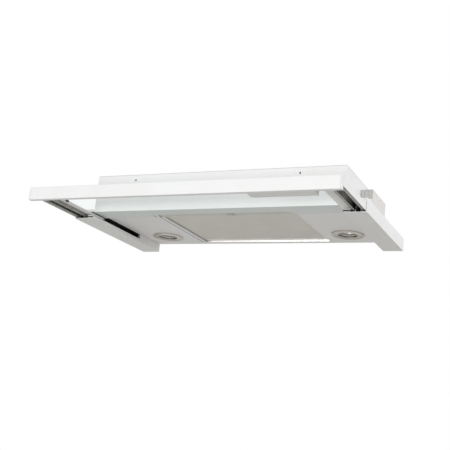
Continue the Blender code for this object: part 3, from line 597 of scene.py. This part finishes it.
def screw(name, place, axis, radius, slot):
    """Domed screw head with a cross recess, standing out along X or Z."""
    bm = bmesh.new()
    dome = [(0.02, -0.2), (radius, -0.2), (radius, 0.25), (0.86 * radius, 0.75),
            (0.55 * radius, 1.05), (0.02, 1.1)]
    lathe(bm, dome, place, 24, axis)
    head = piece(name, bm, "hood", slot)
    cutter = bmesh.new()
    arm = 0.62 * radius
    wide = 0.17 * radius
    for first, second in ((arm, wide), (wide, arm)):
        reach = {"X": (RECESS_REACH, first, second), "Z": (first, second, RECESS_REACH)}[axis]
        shift = {"X": (RECESS_LIFT, 0, 0), "Z": (0, 0, RECESS_LIFT)}[axis]
        middle = [c + d for c, d in zip(place, shift)]
        place_low = [c - r for c, r in zip(middle, reach)]
        place_high = [c + r for c, r in zip(middle, reach)]
        size = [b - a for a, b in zip(place_low, place_high)]
        bmesh.ops.create_cube(cutter, size=1.0, matrix=Matrix.Translation(middle)
                              @ Matrix.Diagonal((*size, 1.0)))
    bmesh.ops.scale(cutter, vec=(MM, MM, MM), verts=cutter.verts)
    mesh = bpy.data.meshes.new(name + "_cutter")
    cutter.to_mesh(mesh)
    cutter.free()
    tool = bpy.data.objects.new(name + "_cutter", mesh)
    bpy.context.scene.collection.objects.link(tool)
    cut = head.modifiers.new("recess", "BOOLEAN")
    cut.operation = "DIFFERENCE"
    cut.solver = "EXACT"
    cut.use_self = True
    cut.object = tool
    graph = bpy.context.evaluated_depsgraph_get()
    done = bpy.data.meshes.new_from_object(head.evaluated_get(graph))
    head.modifiers.clear()
    head.data = done
    bpy.data.objects.remove(tool)


TOP_SCREW_INSET = 7
TOP_SCREW_X = (-125.0, 0.0)    # between the corners
TOP_SCREW_R = 2.8


def top_screws():
    """Screws that hold the top panel down."""
    low, high = corners("top_panel")
    number = 0
    for x in (low[0] + TOP_SCREW_INSET, *TOP_SCREW_X, high[0] - TOP_SCREW_INSET):
        for y in (low[1] + TOP_SCREW_INSET, high[1] - TOP_SCREW_INSET):
            place = (x, y, high[2])
            screw("top_screw_%d" % number, place, "Z", TOP_SCREW_R, "zinc_steel")
            number += 1


BEAD_HEIGHTS = (84.0, 92.0)
BEAD_RING_R = 59.8
BEAD_R = 1.1
FLAP_RIBS = (-36.0, -18.0, 0.0, 18.0, 36.0)    # from the collar's axis, along X
FLAP_RIB_HALF_W = 0.7
FLAP_RIB_START = 14.0
FLAP_RIB_END_R = 54.0
FLAP_RIB_Z = (74.6, 76.4)


def collar_beads():
    """Two beads around the collar that grip the duct, and ribs on its flaps."""
    low, high = corners("outlet_collar")
    centre = ((low[0] + high[0]) / 2, (low[1] + high[1]) / 2, 0.0)
    bm = bmesh.new()
    for height in BEAD_HEIGHTS:
        ring = [(BEAD_RING_R + BEAD_R * math.cos(a), height + BEAD_R * math.sin(a))
                for a in (2 * math.pi * step / 10 for step in range(10))]
        lathe(bm, ring, centre, 96)
    smooth(piece("collar_beads", bm, "hood", "dark_plastic"), 60)
    for node, body, sign in (("flap_front", "flap_a", -1), ("flap_rear", "flap_b", 1)):
        bm = bmesh.new()
        for offset in FLAP_RIBS:
            reach = math.sqrt(FLAP_RIB_END_R ** 2 - offset ** 2) - 4.0
            ends = sorted((centre[1] + sign * FLAP_RIB_START, centre[1] + sign * reach))
            block(bm, (centre[0] + offset - FLAP_RIB_HALF_W, ends[0], FLAP_RIB_Z[0]),
                  (centre[0] + offset + FLAP_RIB_HALF_W, ends[1], FLAP_RIB_Z[1]), 0.3)
        piece(node + "_ribs", bm, body, "dark_plastic")


TICKS_X = (160.0, 168.0, 176.0, 184.0, 218.0, 228.0)
TICKS_Y = (-134.9, -133.1)
TICK_HALF_W = 0.4


def knob_details():
    """Grip ridges on both knobs, and plain tick marks beside their slots."""
    for node, body in (("speed_slider", "speed_knob"), ("light_slider", "light_knob")):
        low, high = corners(node)
        bm = bmesh.new()
        for ridge in range(4):
            left = low[0] + 1.9 + ridge * (high[0] - low[0] - 4.6) / 3
            block(bm, (left, low[1] + 1.0, high[2] - 0.25),
                  (left + 0.8, high[1] - 1.0, high[2] + 0.45))
        piece(node + "_ridges", bm, body, "dark_plastic")
    top = corners("control_cover")[1][2]
    bm = bmesh.new()
    for x in TICKS_X:
        block(bm, (x - TICK_HALF_W, TICKS_Y[0], top - 0.05),
              (x + TICK_HALF_W, TICKS_Y[1], top + 0.12), 0.05)
    piece("control_ticks", bm, "drawer", "dark_plastic")


# ---------------------------------------------------------------- stage and camera
FLOOR_Z = -1.9
FLOOR_R = 9.0
FLOOR_COLOUR = (0.68, 0.665, 0.64)
BACKDROP = 1.0         # white behind the object
FILL = 0.48            # what the backdrop adds to matt surfaces
COOL = (0.97, 0.985, 1.0)
CAMERA_PLACE = (0.6786, -1.3404, -0.4274)
CAMERA_TURN = 25.73    # degrees
CAMERA_RISE = 14.47
CAMERA_ROLL = 5.86
LENS = 66.9


def make_stage():
    """Pale floor far below the hood."""
    bm = bmesh.new()
    bmesh.ops.create_circle(bm, cap_ends=True, segments=96, radius=FLOOR_R)
    mesh = bpy.data.meshes.new("floor")
    bm.to_mesh(mesh)
    bm.free()
    floor = bpy.data.objects.new("floor", mesh)
    floor.location = (0, 0, FLOOR_Z)
    bpy.context.scene.collection.objects.link(floor)
    s = Shade("floor")
    s.colour(s.mix(s.noise(0.8), FLOOR_COLOUR, tuple(0.97 * c for c in FLOOR_COLOUR)))
    s.rough(0.9)
    mesh.materials.append(s.material)


def area_light(name, place, target, size, power, colour=(1, 1, 1)):
    data = bpy.data.lights.new(name, "AREA")
    data.shape = "RECTANGLE"
    data.size, data.size_y = size
    data.energy = power
    data.color = colour
    lamp = bpy.data.objects.new(name, data)
    lamp.location = place
    aim = Vector(target) - Vector(place)
    lamp.rotation_euler = aim.to_track_quat("-Z", "Y").to_euler()
    lamp.visible_camera = False
    bpy.context.scene.collection.objects.link(lamp)


def make_light():
    """White surround that lights softly, two softboxes in front, one at the right."""
    world = bpy.data.worlds.new("studio")
    bpy.context.scene.world = world
    world.use_nodes = True
    nodes = world.node_tree.nodes
    background = nodes["Background"]
    path = nodes.new("ShaderNodeLightPath")
    strength = nodes.new("ShaderNodeMapRange")
    strength.inputs["To Min"].default_value = BACKDROP
    strength.inputs["To Max"].default_value = FILL
    background.inputs["Color"].default_value = (1.0, 1.0, 1.0, 1.0)
    world.node_tree.links.new(path.outputs["Is Diffuse Ray"], strength.inputs["Value"])
    world.node_tree.links.new(strength.outputs["Result"], background.inputs["Strength"])
    area_light("front_softbox", (1.5, -2.8, 0.35), (0, 0, 0), (2.0, 0.6), 35.0, COOL)
    area_light("low_softbox", (-0.3, -2.7, -0.85), (0, 0, 0), (1.8, 0.5), 22.0)
    area_light("side_softbox", (2.8, 0.2, 0.55), (0, 0, 0), (1.4, 1.0), 22.0, COOL)


def make_camera():
    """Below the hood and to its right, looking up a little, slightly rolled."""
    data = bpy.data.cameras.new("camera")
    data.sensor_width = 36.0
    data.lens = LENS
    camera = bpy.data.objects.new("camera", data)
    camera.location = CAMERA_PLACE
    turn = math.radians(CAMERA_TURN)
    rise = math.radians(CAMERA_RISE)
    roll = math.radians(CAMERA_ROLL)
    camera.matrix_world = (Matrix.Translation(camera.location)
                           @ Matrix.Rotation(turn, 4, "Z")
                           @ Matrix.Rotation(math.pi / 2 + rise, 4, "X")
                           @ Matrix.Rotation(roll, 4, "Z"))
    bpy.context.scene.collection.objects.link(camera)
    bpy.context.scene.camera = camera


bpy.context.scene.view_settings.view_transform = "Standard"
make_camera()
make_light()
make_stage()
dress_nodes()
filter_strands()
well_trim()
rail_shade_pads()
mouth_shade_strips()
lamps()
terminal_ribs()
top_screws()
collar_beads()
knob_details()
